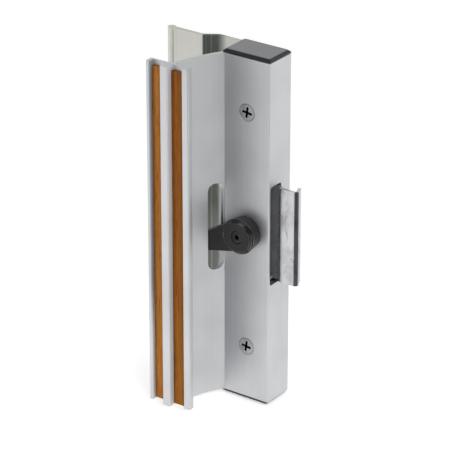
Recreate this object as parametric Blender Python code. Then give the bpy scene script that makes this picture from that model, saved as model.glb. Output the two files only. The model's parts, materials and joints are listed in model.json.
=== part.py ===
"""Sliding patio door handle: an aluminium pull with wood strips, a thumb lever and a hook latch.

The door's room face is the plane Y = 0 and the room is at -Y. +Z runs up the door, +X points to
the jamb that the latch hooks on, and Z = 0 is the lever's height, halfway up the body.

Places on the section are given as a distance left of the housing's right face and a distance in
from its front face, so what stands out into the room has a negative distance in.
"""

import math

import bmesh
import bpy
from mathutils import Matrix, Vector

MM = 0.001

# Pull body: an extrusion with a housing, a web and a grip bar
BODY_LENGTH = 181.0 * MM
HOUSING_WIDTH = 28.2 * MM
HOUSING_DEPTH = 18.1 * MM
WALL = 1.8 * MM
EDGE_RADIUS = 0.6 * MM
RIGHT_LIP = 4.5 * MM
LEFT_LIP = 7.5 * MM
BRACKET_RIB = 1.2 * MM
WEB_THICKNESS = 1.9 * MM
WEB_START_ANGLE = math.radians(36.0)
WEB_END_ANGLE = math.radians(15.0)
WEB_START_INSET = 1.9 * MM
WEB_SPREAD = 8.7 * MM
WEB_SAMPLES = 13

# Grip bar, its heights measured out from its flat back
GRIP_BACK_OUT = 25.2 * MM
GRIP_INSET = 1.2 * MM
RIGHT_RIM_WIDTH = 3.5 * MM
RIGHT_RIM_HEIGHT = 3.7 * MM
CENTRE_RIB_WIDTH = 4.6 * MM
CENTRE_RIB_HEIGHT = 6.2 * MM
LEFT_RIM_WIDTH = 2.4 * MM
LEFT_RIM_HEIGHT = 4.8 * MM
GROOVE_WIDTH = 6.7 * MM
GROOVE_FLOOR = 1.2 * MM
GROOVE_UNDERCUT = 0.25 * MM
GROOVE_MOUTH_RADIUS = 0.3 * MM
RIM_RADIUS = 0.9 * MM
GRIP_EDGE_RADIUS = 0.7 * MM
JOIN_RADIUS = 1.2 * MM

# Wood strips
STRIP_THICKNESS = 1.4 * MM
STRIP_SIDE_GAP = 0.15 * MM
STRIP_TOP_GAP = 2.6 * MM
STRIP_BOTTOM_GAP = 0.5 * MM

# Openings cut in the extrusion
LEVER_SLOT_HEIGHT = 46.4 * MM
LEVER_SLOT_WIDTH = 7.5 * MM
LEVER_SLOT_MARGIN = 0.2 * MM
WINDOW_HEIGHT = 52.6 * MM
WINDOW_FRONT = 1.2 * MM
WINDOW_WIDTH = 9.0 * MM
WINDOW_RADIUS = 1.2 * MM

# End caps, one moulding used at both ends
CAP_LIP = 0.5 * MM
CAP_BEVEL_HEIGHT = 1.2 * MM
CAP_BEVEL_INSET = 1.4 * MM
CAP_SIDE_INSET = 0.6 * MM
CAP_SKIRT_DEPTH = 8.0 * MM
CAP_SKIRT_WALL = 1.4 * MM

# Mounting screws, flat-headed with a cross recess, and what they meet
SCREW_SPACING = 125.4 * MM
SCREW_RADIUS = 2.4 * MM
SCREW_HEAD_RADIUS = 4.4 * MM
SCREW_HEAD_ANGLE = math.radians(41.0)
SCREW_LENGTH = 25.4 * MM
SCREW_POINT = 0.8 * MM
RECESS_SPAN = 5.1 * MM
RECESS_SLOT = 1.1 * MM
RECESS_TURN = math.radians(45.0)
RECESS_DEPTH = 2.2 * MM
RECESS_FLOOR_SPAN = 2.2 * MM
SCREW_LINE_OFFSET = 0.85 * MM
SPACER_WALL = 1.2 * MM
NUT_BARREL_RADIUS = 3.4 * MM
NUT_HEAD_RADIUS = 4.6 * MM
NUT_HEAD_THICKNESS = 1.2 * MM

# Thumb lever
LEVER_DROOP = math.radians(22.0)
LEVER_TRAVEL = math.radians(45.0)
HUB_BASE_RADIUS = 8.4 * MM
HUB_RADIUS = 9.2 * MM
HUB_HEIGHT = 8.2 * MM
HUB_STEP = 0.75 * MM
HUB_STEP_HEIGHT = 0.75 * MM
ARM_REACH = 25.5 * MM
ARM_TIP_RADIUS = 4.0 * MM
ARM_ROOT_RADIUS = 8.1 * MM
ARM_BACK = 1.5 * MM
ARM_THICKNESS = 5.3 * MM
ARM_BEVEL = 0.5 * MM
JOURNAL_RADIUS = 4.5 * MM
DRIVE_SQUARE = 5.6 * MM
DRIVE_LENGTH = 2.6 * MM
RIVET_RADIUS = 1.8 * MM
RIVET_HEAD_RADIUS = 3.2 * MM
RIVET_HEAD_THICKNESS = 0.8 * MM
RIVET_BORE_RADIUS = 1.2 * MM
RIVET_BORE_DEPTH = 5.0 * MM
RIVET_FLARE_RADIUS = 2.7 * MM
RIVET_FLARE_LENGTH = 0.9 * MM

# Latch mechanism inside the housing
BRACKET_THICKNESS = 1.2 * MM
BRACKET_HEIGHT = 64.0 * MM
WASHER_THICKNESS = 0.5 * MM
WASHER_RADIUS = 7.0 * MM
CAM_RADIUS = 5.5 * MM
CAM_BACK_ROOM = 3.6 * MM
CAM_CORE_RADIUS = 2.8 * MM
CAM_GROOVE_WIDTH = 3.5 * MM
CAM_GROOVE_START = math.radians(-34.0)
CAM_GROOVE_END = math.radians(80.0)
RIVET_WASHER_RADIUS = 4.0 * MM
PIN_RADIUS = 1.25 * MM
PIN_HEAD_RADIUS = 2.1 * MM
PIN_HEAD_THICKNESS = 0.9 * MM
PIN_LEFT = 5.2 * MM
CLIP_RADIUS = 2.6 * MM
CLIP_THICKNESS = 0.6 * MM

# Clamp plate, a folded steel hook
PLATE_THICKNESS = 1.6 * MM
PLATE_HEIGHT = 50.0 * MM
PLATE_FRONT_IN = 5.6 * MM
PLATE_REACH = 12.9 * MM
PLATE_LIP = 5.9 * MM
PLATE_LIP_LEAN = math.radians(24.0)
PLATE_LIP_RADIUS = 1.05 * MM
PLATE_BEND_RIGHT = 2.5 * MM
PLATE_TAIL_IN = 8.6 * MM
PLATE_TAIL_LEFT = 7.2 * MM
PLATE_BEND_RADIUS = 1.3 * MM
FINGER_DEPTH = 2.45 * MM
FINGER_WIDTH = 1.6 * MM
EAR_RADIUS = 2.6 * MM
HOOK_SWING = math.radians(20.0)

# Outer pull, the extrusion on the weather side
OUTER_END_GAP = 0.7 * MM
OUTER_THICKNESS = 2.0 * MM
OUTER_FLANGE_RIGHT = 5.5 * MM
OUTER_FLANGE_LEFT = 43.5 * MM
OUTER_STEP = 4.2 * MM
OUTER_STEP_RUN = 6.0 * MM
OUTER_BEND_RADIUS = 5.0 * MM
OUTER_FIN_LEFT = 66.4 * MM
OUTER_BEAD_RADIUS = 2.15 * MM

# Clearances and mesh fineness
SEAT_GAP = 0.3 * MM
SLIDE_GAP = 0.2 * MM
PIN_GAP = 0.15 * MM
OVERCUT = 1.0 * MM
ARC_TRIM = 0.001 * MM
FOLD_INSET = 0.1 * MM
SHARP_ANGLE = math.radians(32.0)
ROUND_STEPS = 40
SMALL_STEPS = 24
ARC_STEPS = 4

# Places that follow from the sizes
HOUSING_RIGHT = RIGHT_LIP / 2
FRONT = -HOUSING_DEPTH
SCREW_LINE_LEFT = HOUSING_WIDTH / 2 - SCREW_LINE_OFFSET
LEVER_X = HOUSING_RIGHT - SCREW_LINE_LEFT
CHANNEL_X = HOUSING_RIGHT - HOUSING_WIDTH / 2
GRIP_RIGHT = HOUSING_WIDTH - GRIP_INSET
WEB_END_LEFT = HOUSING_WIDTH + WEB_SPREAD
BRACKET_SLOT = BRACKET_THICKNESS + 2 * SLIDE_GAP
BRACKET_IN = WALL + SLIDE_GAP
WASHER_IN = BRACKET_IN + BRACKET_THICKNESS + SEAT_GAP
CAM_IN = WASHER_IN + WASHER_THICKNESS + SEAT_GAP
CAM_OUT = HOUSING_DEPTH - CAM_BACK_ROOM
RIVET_WASHER_IN = CAM_OUT + SEAT_GAP
RIVET_FLARE_IN = RIVET_WASHER_IN + WASHER_THICKNESS + SEAT_GAP
PIN_IN = PLATE_TAIL_IN - PLATE_THICKNESS / 2 - PIN_GAP - PIN_RADIUS
PIN_X = HOUSING_RIGHT - PIN_LEFT
BRACKET_EAR_Z = PLATE_HEIGHT / 2 + SEAT_GAP
OUTER_FACE_IN = HOUSING_DEPTH + SEAT_GAP
OUTER_LENGTH = BODY_LENGTH - 2 * OUTER_END_GAP
SCREW_HEIGHTS = {"top": SCREW_SPACING / 2, "bottom": -SCREW_SPACING / 2}


def at(left, inward):
    """The section point this far left of the housing's right face and in from its front face."""
    return Vector((HOUSING_RIGHT - left, FRONT + inward))


def at_height(left, inward, height):
    """The same place in the room, at a height."""
    return at(left, inward).to_3d() + Vector((0.0, 0.0, height))


# Outlines


def fillet(corners, closed=True):
    """An outline through (point, radius) corners, with an arc at each corner that has a radius."""
    points = []
    for index, (corner, radius) in enumerate(corners):
        is_end = not closed and index in (0, len(corners) - 1)
        if radius == 0.0 or is_end:
            points.append(corner.copy())
            continue
        before = (corners[index - 1][0] - corner).normalized()
        after = (corners[(index + 1) % len(corners)][0] - corner).normalized()
        half = before.angle(after) / 2
        run = radius / math.tan(half)
        centre = corner + (before + after).normalized() * radius / math.sin(half)
        start = corner + before * run - centre
        turn = (corner + after * run - centre).angle_signed(start)
        turns = [turn * step / ARC_STEPS for step in range(ARC_STEPS + 1)]
        points += [centre + Matrix.Rotation(turn, 2) @ start for turn in turns]
    return points


def thicken(path, thickness):
    """A closed outline of even thickness around a path."""
    normals = []
    for index in range(len(path)):
        along = path[min(index + 1, len(path) - 1)] - path[max(index - 1, 0)]
        normals.append(Vector((-along.y, along.x)).normalized() * thickness / 2)
    one_side = [point + normal for point, normal in zip(path, normals)]
    other_side = [point - normal for point, normal in zip(path, normals)]
    return one_side + other_side[::-1]


def circle(centre, radius, steps):
    """A round outline."""
    turns = [2 * math.pi * step / steps for step in range(steps)]
    return [centre + radius * Vector((math.cos(turn), math.sin(turn))) for turn in turns]


def rounded_rectangle(width, height, radius):
    """A rectangle about the origin with equal corner arcs."""
    signs = ((-1, -1), (1, -1), (1, 1), (-1, 1))
    return fillet([(Vector((x * width / 2, y * height / 2)), radius) for x, y in signs])


# Solids


def finish_mesh(name, mesh_data, material=None, location=(0.0, 0.0, 0.0)):
    """Turn a bmesh into a linked object, shaded smooth up to sharp edges."""
    bmesh.ops.recalc_face_normals(mesh_data, faces=mesh_data.faces)
    mesh = bpy.data.meshes.new(name)
    mesh_data.to_mesh(mesh)
    mesh_data.free()
    mesh.shade_smooth()
    mesh.set_sharp_from_angle(angle=SHARP_ANGLE)
    made = bpy.data.objects.new(name, mesh)
    made.location = location
    bpy.context.collection.objects.link(made)
    if material:
        mesh.materials.append(material)
    return made


# Each way to stand a flat outline up and extrude it: first, second and extruded direction
ALONG = {
    "X": (Vector((0, 1, 0)), Vector((0, 0, 1)), Vector((1, 0, 0))),
    "Y": (Vector((1, 0, 0)), Vector((0, 0, 1)), Vector((0, 1, 0))),
    "Z": (Vector((1, 0, 0)), Vector((0, 1, 0)), Vector((0, 0, 1))),
}


def prism_mesh(outline, axis, start, end, bevel=0.0):
    """An outline extruded along one axis, its two end edges bevelled if a bevel is given."""
    first, second, along = ALONG[axis]
    solid = bmesh.new()
    corners = [solid.verts.new(point.x * first + point.y * second + start * along) for point in outline]
    base = solid.faces.new(corners)
    lifted = bmesh.ops.extrude_face_region(solid, geom=[base])["geom"]
    top = [vertex for vertex in lifted if isinstance(vertex, bmesh.types.BMVert)]
    bmesh.ops.translate(solid, verts=top, vec=(end - start) * along)
    if bevel:
        flat_ends = [face for face in solid.faces if len(face.verts) == len(outline)]
        rims = {edge for face in flat_ends for edge in face.edges}
        bmesh.ops.bevel(solid, geom=list(rims), offset=bevel, segments=2, profile=0.5, affect="EDGES")
    return solid


def prism(name, outline, axis, start, end, material=None, location=(0.0, 0.0, 0.0), bevel=0.0):
    """An object from an extruded outline."""
    return finish_mesh(name, prism_mesh(outline, axis, start, end, bevel), material, location)


def turned_mesh(profile, steps, axis="Y"):
    """A profile of (radius, distance along the axis) turned once; it may start and end on the axis."""
    first, second, along = ALONG[axis]
    solid = bmesh.new()
    rings = []
    for radius, distance in profile:
        if radius == 0.0:
            rings.append([solid.verts.new(distance * along)])
            continue
        outline = circle(Vector((0.0, 0.0)), radius, steps)
        spots = [point.x * first + point.y * second + distance * along for point in outline]
        rings.append([solid.verts.new(spot) for spot in spots])
    is_ring = profile[0][0] > 0.0
    pairs = list(zip(rings, rings[1:] + rings[:1])) if is_ring else list(zip(rings, rings[1:]))
    for lower, upper in pairs:
        for step in range(steps):
            following = (step + 1) % steps
            corners = [lower[step % len(lower)], lower[following % len(lower)]]
            corners += [upper[following % len(upper)], upper[step % len(upper)]]
            solid.faces.new(dict.fromkeys(corners))
    return solid


def turned(name, profile, steps, material=None, location=(0.0, 0.0, 0.0), axis="Y"):
    """An object from a turned profile."""
    return finish_mesh(name, turned_mesh(profile, steps, axis), material, location)


def ring_profile(inner, outer, start, end):
    """The profile of a plain ring."""
    return [(inner, start), (outer, start), (outer, end), (inner, end)]


def combine(target, tool, operation):
    """Join or cut the target with a tool, which is hidden and follows the target."""
    tool.hide_render = True
    tool.display_type = "WIRE"
    tool.parent = target
    tool.matrix_parent_inverse = target.matrix_world.inverted()
    change = target.modifiers.new(tool.name, "BOOLEAN")
    change.operation = operation
    change.solver = "EXACT"
    change.object = tool


def cut(target, tool):
    """Cut the tool's shape out of the target."""
    combine(target, tool, "DIFFERENCE")


def join(target, tool):
    """Join the tool's shape to the target."""
    combine(target, tool, "UNION")


def make_material(name, colour, roughness, metallic=0.0):
    """A plain surface colour."""
    made = bpy.data.materials.new(name)
    made.use_nodes = True
    shader = made.node_tree.nodes["Principled BSDF"]
    shader.inputs["Base Color"].default_value = (*colour, 1.0)
    shader.inputs["Roughness"].default_value = roughness
    shader.inputs["Metallic"].default_value = metallic
    return made


# Interior pull


def web_curve():
    """The web's hollow side, from the housing's front corner out to the back of the grip bar."""
    start = at(HOUSING_WIDTH - WEB_START_INSET, 0.0)
    end = at(WEB_END_LEFT, -GRIP_BACK_OUT)
    leaving = Vector((-math.sin(WEB_START_ANGLE), -math.cos(WEB_START_ANGLE)))
    arriving = Vector((-math.sin(WEB_END_ANGLE), -math.cos(WEB_END_ANGLE)))
    span = end - start
    reach = span.cross(arriving) / leaving.cross(arriving)
    middle = start + leaving * reach
    shares = [step / (WEB_SAMPLES - 1) for step in range(WEB_SAMPLES)]
    return [(1 - t) ** 2 * start + 2 * t * (1 - t) * middle + t**2 * end for t in shares]


def grip_corners():
    """The grip bar's section from the web's hollow side round to its outer side."""
    back = -GRIP_BACK_OUT
    right_rim = back - RIGHT_RIM_HEIGHT
    centre_rib = back - CENTRE_RIB_HEIGHT
    left_rim = back - LEFT_RIM_HEIGHT
    floor = back - GROOVE_FLOOR
    first = GRIP_RIGHT + RIGHT_RIM_WIDTH
    second = first + GROOVE_WIDTH
    third = second + CENTRE_RIB_WIDTH
    fourth = third + GROOVE_WIDTH
    left = fourth + LEFT_RIM_WIDTH
    undercut = GROOVE_UNDERCUT
    return [
        (at(GRIP_RIGHT, back), GRIP_EDGE_RADIUS),
        (at(GRIP_RIGHT, right_rim), RIM_RADIUS),
        (at(first, right_rim), GROOVE_MOUTH_RADIUS),
        (at(first - undercut, floor), 0.0),
        (at(second + undercut, floor), 0.0),
        (at(second, centre_rib), RIM_RADIUS),
        (at(third, centre_rib), RIM_RADIUS),
        (at(third - undercut, floor), 0.0),
        (at(fourth + undercut, floor), 0.0),
        (at(fourth, left_rim), RIM_RADIUS),
        (at(left, left_rim), RIM_RADIUS),
        (at(left, back), GRIP_EDGE_RADIUS),
    ]


def housing_inside_corners():
    """The channel's section, from the left lip round to the right one, with the bracket's ribs."""
    back = HOUSING_DEPTH
    lip = back - WALL
    rib_front = WALL + BRACKET_SLOT
    rib_back = rib_front + BRACKET_RIB
    left = HOUSING_WIDTH - WALL
    places = [
        (HOUSING_WIDTH - LEFT_LIP, back),
        (HOUSING_WIDTH - LEFT_LIP, lip),
        (left, lip),
        (left, rib_back),
        (left - BRACKET_RIB, rib_back),
        (left - BRACKET_RIB, rib_front),
        (left, rib_front),
        (left, WALL),
        (WALL, WALL),
        (WALL, rib_front),
        (WALL + BRACKET_RIB, rib_front),
        (WALL + BRACKET_RIB, rib_back),
        (WALL, rib_back),
        (WALL, lip),
        (RIGHT_LIP, lip),
        (RIGHT_LIP, back),
    ]
    return [(at(*place), 0.0) for place in places]


def body_outline():
    """The whole section of the pull body as one closed outline."""
    hollow_side = web_curve()
    outer_side = []
    for index, point in enumerate(hollow_side):
        along = hollow_side[min(index + 1, WEB_SAMPLES - 1)] - hollow_side[max(index - 1, 0)]
        outer_side.append(point + Vector((along.y, -along.x)).normalized() * WEB_THICKNESS)
    outer_end = Vector((outer_side[-1].x, FRONT - GRIP_BACK_OUT))
    leaving = (outer_side[0] - outer_side[1]).normalized()
    left_face = HOUSING_RIGHT - HOUSING_WIDTH
    outer_start = outer_side[0] + leaving * (left_face - outer_side[0].x) / leaving.x
    corners = [
        (at(0.0, HOUSING_DEPTH), EDGE_RADIUS),
        (at(0.0, 0.0), EDGE_RADIUS),
        (hollow_side[0], 0.0),
        *((point, 0.0) for point in hollow_side[1:-1]),
        (hollow_side[-1], JOIN_RADIUS),
        *grip_corners(),
        (outer_end, JOIN_RADIUS),
        *((point, 0.0) for point in outer_side[-2:0:-1]),
        (outer_start, JOIN_RADIUS),
        (at(HOUSING_WIDTH, HOUSING_DEPTH), EDGE_RADIUS),
        *housing_inside_corners(),
    ]
    return fillet(corners)


def screw_hole_profile():
    """The countersunk hole that a mounting screw's head sits in."""
    radius = SCREW_RADIUS + SLIDE_GAP
    rim = SCREW_HEAD_RADIUS + PIN_GAP
    slope = math.tan(SCREW_HEAD_ANGLE)
    cone = (rim - radius) / slope
    end = cone + WALL + OVERCUT
    return [(0.0, -OVERCUT), (rim + OVERCUT * slope, -OVERCUT), (radius, cone), (radius, end), (0.0, end)]


def journal_bore(name, start, end):
    """A cutter for the hole that the lever's journal turns in."""
    radius = JOURNAL_RADIUS + PIN_GAP
    profile = [(0.0, start), (radius, start), (radius, end), (0.0, end)]
    return turned(name, profile, ROUND_STEPS, location=(LEVER_X, FRONT, 0.0))


def make_pull_body(aluminium):
    """The interior extrusion with its slot, window and holes."""
    body = prism("pull_body", body_outline(), "Z", -BODY_LENGTH / 2, BODY_LENGTH / 2, aluminium)
    slot_shape = rounded_rectangle(LEVER_SLOT_WIDTH, LEVER_SLOT_HEIGHT, LEVER_SLOT_WIDTH / 2 - ARC_TRIM)
    slot_centre = at_height(0.0, -LEVER_SLOT_MARGIN - LEVER_SLOT_WIDTH / 2, 0.0)
    slot = prism("lever_slot_cutter", slot_shape, "X", -GRIP_RIGHT - GROOVE_WIDTH * 2, -SCREW_LINE_LEFT,
                 location=slot_centre)
    cut(body, slot)
    window_shape = rounded_rectangle(WINDOW_WIDTH, WINDOW_HEIGHT, WINDOW_RADIUS)
    window_centre = at_height(0.0, WINDOW_FRONT + WINDOW_WIDTH / 2, 0.0)
    window = prism("window_cutter", window_shape, "X", -WALL - BRACKET_RIB - SEAT_GAP, OVERCUT,
                   location=window_centre)
    cut(body, window)
    cut(body, journal_bore("lever_bore_cutter", -OVERCUT, WALL + OVERCUT))
    for end, height in SCREW_HEIGHTS.items():
        hole = turned(f"screw_hole_cutter_{end}", screw_hole_profile(), ROUND_STEPS,
                      location=(LEVER_X, FRONT, height))
        cut(body, hole)


def make_wood_strip(name, right, wood):
    """A strip that slides into an undercut groove from its end."""
    low = -GRIP_BACK_OUT - GROOVE_FLOOR - STRIP_SIDE_GAP
    high = low - STRIP_THICKNESS
    groove_height = CENTRE_RIB_HEIGHT - GROOVE_FLOOR
    narrowing = GROOVE_UNDERCUT * STRIP_THICKNESS / groove_height
    wide = GROOVE_UNDERCUT - STRIP_SIDE_GAP
    left = right + GROOVE_WIDTH
    outline = [at(right - wide, low), at(right - wide + narrowing, high),
               at(left + wide - narrowing, high), at(left + wide, low)]
    prism(name, outline, "Z", -BODY_LENGTH / 2 + STRIP_BOTTOM_GAP, BODY_LENGTH / 2 - STRIP_TOP_GAP, wood)


def make_end_cap(name, upside, plastic):
    """A bevelled cap with a skirt that plugs the channel; the lower one is the same, turned over."""
    inset = Vector((CAP_SIDE_INSET / 2, 0.0))
    half_width = (HOUSING_WIDTH - CAP_SIDE_INSET) / 2
    half_depth = HOUSING_DEPTH / 2
    cap = bmesh.new()
    rings = []
    bevel = CAP_BEVEL_INSET
    for shrink, height in ((0.0, 0.0), (0.0, CAP_LIP), (bevel, CAP_LIP + CAP_BEVEL_HEIGHT)):
        outline = rounded_rectangle(2 * (half_width - shrink), 2 * (half_depth - shrink), EDGE_RADIUS)
        rings.append([cap.verts.new((*(point + inset), SEAT_GAP + height)) for point in outline])
    cap.faces.new(rings[0])
    cap.faces.new(rings[-1])
    bmesh.ops.bridge_loops(cap, edges=ring_edges(cap, rings[0]) + ring_edges(cap, rings[1]))
    bmesh.ops.bridge_loops(cap, edges=ring_edges(cap, rings[1]) + ring_edges(cap, rings[2]))
    flip = Matrix.Rotation(0.0 if upside else math.pi, 4, "Y")
    end = BODY_LENGTH / 2 if upside else -BODY_LENGTH / 2
    made = finish_mesh(name, cap, plastic, at_height(HOUSING_WIDTH / 2, HOUSING_DEPTH / 2, end))
    made.rotation_euler = flip.to_euler()
    skirt_front = WALL + BRACKET_SLOT + BRACKET_RIB + SEAT_GAP
    skirt_depth = HOUSING_DEPTH - WALL - SEAT_GAP - skirt_front
    skirt_width = HOUSING_WIDTH - 2 * (WALL + SEAT_GAP)
    middle = skirt_front + skirt_depth / 2 - HOUSING_DEPTH / 2
    skirt = prism(f"{name}_skirt", rounded_rectangle(skirt_width, skirt_depth, EDGE_RADIUS), "Z",
                  -CAP_SKIRT_DEPTH, SEAT_GAP + CAP_LIP)
    hollow = prism(f"{name}_skirt_hollow", rounded_rectangle(skirt_width - 2 * CAP_SKIRT_WALL,
                   skirt_depth - 2 * CAP_SKIRT_WALL, EDGE_RADIUS), "Z", -CAP_SKIRT_DEPTH - OVERCUT, SEAT_GAP)
    for tool in (skirt, hollow):
        tool.location = made.location + Vector((0.0, middle, 0.0))
        tool.rotation_euler = made.rotation_euler
    bpy.context.view_layer.update()
    join(made, skirt)
    cut(made, hollow)


def ring_edges(mesh_data, ring):
    """The edges between the neighbours of a closed ring of vertices, made where they are missing."""
    pairs = zip(ring, ring[1:] + ring[:1])
    return [mesh_data.edges.get(pair) or mesh_data.edges.new(pair) for pair in pairs]


# Fasteners


def recess_blade(name, location, turn):
    """One tapered blade of a cross recess."""
    outline = [Vector((x * RECESS_SPAN / 2, y)) for x, y in ((-1, -OVERCUT), (1, -OVERCUT), (1, 0.0))]
    outline += [Vector((side * RECESS_FLOOR_SPAN / 2, RECESS_DEPTH)) for side in (1, -1)]
    outline.append(Vector((-RECESS_SPAN / 2, 0.0)))
    blade = prism(name, outline, "Z", -RECESS_SLOT / 2, RECESS_SLOT / 2, location=location)
    blade.rotation_euler = (0.0, turn, 0.0)
    return blade


def make_screw(end, height, steel):
    """A flat-headed machine screw with a cross recess, flush in the housing's front wall."""
    cone = (SCREW_HEAD_RADIUS - SCREW_RADIUS) / math.tan(SCREW_HEAD_ANGLE)
    profile = [(0.0, 0.0), (SCREW_HEAD_RADIUS, 0.0), (SCREW_RADIUS, cone),
               (SCREW_RADIUS, SCREW_LENGTH - SCREW_POINT),
               (SCREW_RADIUS - SCREW_POINT, SCREW_LENGTH), (0.0, SCREW_LENGTH)]
    screw = turned(f"mounting_screw_{end}", profile, ROUND_STEPS, steel, (LEVER_X, FRONT, height))
    bpy.context.view_layer.update()
    for number, turn in enumerate((RECESS_TURN, RECESS_TURN + math.pi / 2)):
        cut(screw, recess_blade(f"recess_cutter_{end}_{number}", screw.location, turn))


def make_screw_spacer(end, height, plastic):
    """A tube round the screw that keeps the channel from being crushed against the door."""
    inner = SCREW_RADIUS + SLIDE_GAP + SEAT_GAP
    turned(f"screw_spacer_{end}", ring_profile(inner, inner + SPACER_WALL, WALL + SEAT_GAP,
           HOUSING_DEPTH), SMALL_STEPS, plastic, (LEVER_X, FRONT, height))


def make_outer_nut(end, height, steel):
    """A headed nut pressed into the outer pull from its weather side."""
    bore = SCREW_RADIUS + PIN_GAP
    start = OUTER_FACE_IN
    head = start + OUTER_THICKNESS + SEAT_GAP
    profile = [(bore, start), (NUT_BARREL_RADIUS, start), (NUT_BARREL_RADIUS, head),
               (NUT_HEAD_RADIUS, head), (NUT_HEAD_RADIUS, head + NUT_HEAD_THICKNESS),
               (bore, head + NUT_HEAD_THICKNESS)]
    turned(f"outer_nut_{end}", profile, SMALL_STEPS, steel, (LEVER_X, FRONT, height))


# Lever and cam, which turn together about an axis along Y


def arm_outline():
    """A teardrop: two circles of unlike size and the lines that touch both."""
    lean = math.asin((ARM_ROOT_RADIUS - ARM_TIP_RADIUS) / ARM_REACH)
    points = []
    for centre, radius, start, end in (
        (-ARM_REACH, ARM_TIP_RADIUS, math.pi / 2 + lean, 3 * math.pi / 2 - lean),
        (0.0, ARM_ROOT_RADIUS, -math.pi / 2 - lean, math.pi / 2 + lean),
    ):
        for step in range(SMALL_STEPS + 1):
            turn = start + (end - start) * step / SMALL_STEPS
            points.append(Vector((centre + radius * math.cos(turn), radius * math.sin(turn))))
    return points


def make_lever(plastic):
    """The thumb lever: a stepped hub that widens outwards, an arm, a journal and a square drive."""
    front = -SEAT_GAP - HUB_HEIGHT
    drive_start = WASHER_IN + WASHER_THICKNESS
    head_seat = front + RIVET_HEAD_THICKNESS
    bore = RIVET_RADIUS + PIN_GAP
    head_bore = RIVET_HEAD_RADIUS + PIN_GAP
    profile = [
        (bore, head_seat + PIN_GAP),
        (head_bore, head_seat + PIN_GAP),
        (head_bore, front),
        (HUB_RADIUS - 2 * HUB_STEP, front),
        (HUB_RADIUS - 2 * HUB_STEP, front + HUB_STEP_HEIGHT),
        (HUB_RADIUS - HUB_STEP, front + HUB_STEP_HEIGHT),
        (HUB_RADIUS - HUB_STEP, front + 2 * HUB_STEP_HEIGHT),
        (HUB_RADIUS, front + 2 * HUB_STEP_HEIGHT),
        (HUB_BASE_RADIUS, -SEAT_GAP),
        (JOURNAL_RADIUS, -SEAT_GAP),
        (JOURNAL_RADIUS, drive_start - SEAT_GAP),
        (bore, drive_start - SEAT_GAP),
    ]
    lever = turned("latch_lever", profile, ROUND_STEPS, plastic, (LEVER_X, FRONT, 0.0))
    lever.rotation_euler = (0.0, -LEVER_DROOP, 0.0)
    arm = prism("lever_arm", arm_outline(), "Y", -ARM_BACK - ARM_THICKNESS, -ARM_BACK, bevel=ARM_BEVEL)
    drive = prism("lever_drive", rounded_rectangle(DRIVE_SQUARE, DRIVE_SQUARE, EDGE_RADIUS), "Y",
                  drive_start - 2 * SEAT_GAP, CAM_IN + DRIVE_LENGTH)
    drive_bore = turned("lever_drive_bore", [(0.0, front - OVERCUT), (bore, front - OVERCUT),
                        (bore, CAM_OUT), (0.0, CAM_OUT)], SMALL_STEPS)
    for tool in (arm, drive, drive_bore):
        tool.location = lever.location
        tool.rotation_euler = lever.rotation_euler
    bpy.context.view_layer.update()
    join(lever, arm)
    join(lever, drive)
    cut(lever, drive_bore)


def make_lever_rivet(steel):
    """The part-hollow rivet that clamps the lever and the cam on each other."""
    front = -SEAT_GAP - HUB_HEIGHT
    head = front + RIVET_HEAD_THICKNESS
    end = RIVET_FLARE_IN + RIVET_FLARE_LENGTH
    profile = [
        (0.0, front + RIVET_BORE_DEPTH),
        (RIVET_BORE_RADIUS, front + RIVET_BORE_DEPTH),
        (RIVET_BORE_RADIUS, front + SLIDE_GAP),
        (RIVET_HEAD_RADIUS - SLIDE_GAP, front + SLIDE_GAP),
        (RIVET_HEAD_RADIUS, front + 2 * SLIDE_GAP),
        (RIVET_HEAD_RADIUS, head),
        (RIVET_RADIUS, head),
        (RIVET_RADIUS, RIVET_FLARE_IN),
        (RIVET_FLARE_RADIUS, RIVET_FLARE_IN),
        (RIVET_FLARE_RADIUS, RIVET_FLARE_IN + RIVET_FLARE_LENGTH / 2),
        (RIVET_RADIUS, end),
        (0.0, end),
    ]
    turned("lever_rivet", profile, SMALL_STEPS, steel, (LEVER_X, FRONT, 0.0))


def finger_tip_left():
    """How far left the clamp plate's finger reaches into the cam."""
    return SCREW_LINE_LEFT - CAM_RADIUS + FINGER_DEPTH


def finger_travel():
    """How far the finger's tip moves in when the hook swings out all the way."""
    reach = finger_tip_left() - PIN_LEFT
    offset = PLATE_TAIL_IN - PIN_IN
    return reach * math.sin(HOOK_SWING) - offset * (1 - math.cos(HOOK_SWING))


def cam_groove():
    """A helical track round the cam's side, which moves the finger in as the lever turns."""
    track = bmesh.new()
    steps = ROUND_STEPS // 2
    outer = CAM_RADIUS + OVERCUT
    sections = []
    for step in range(steps + 1):
        turn = CAM_GROOVE_START + (CAM_GROOVE_END - CAM_GROOVE_START) * step / steps
        middle = PLATE_TAIL_IN + finger_travel() * turn / LEVER_TRAVEL
        outward = Vector((math.cos(turn), 0.0, math.sin(turn)))
        sections.append([
            track.verts.new(outward * radius + Vector((0.0, middle + side * CAM_GROOVE_WIDTH / 2, 0.0)))
            for radius, side in ((CAM_CORE_RADIUS, -1), (outer, -1), (outer, 1), (CAM_CORE_RADIUS, 1))
        ])
    for one, other in zip(sections, sections[1:]):
        for index in range(4):
            following = (index + 1) % 4
            track.faces.new((one[index], one[following], other[following], other[index]))
    track.faces.new(sections[0])
    track.faces.new(sections[-1])
    return finish_mesh("cam_groove_cutter", track, location=(LEVER_X, FRONT, 0.0))


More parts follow.
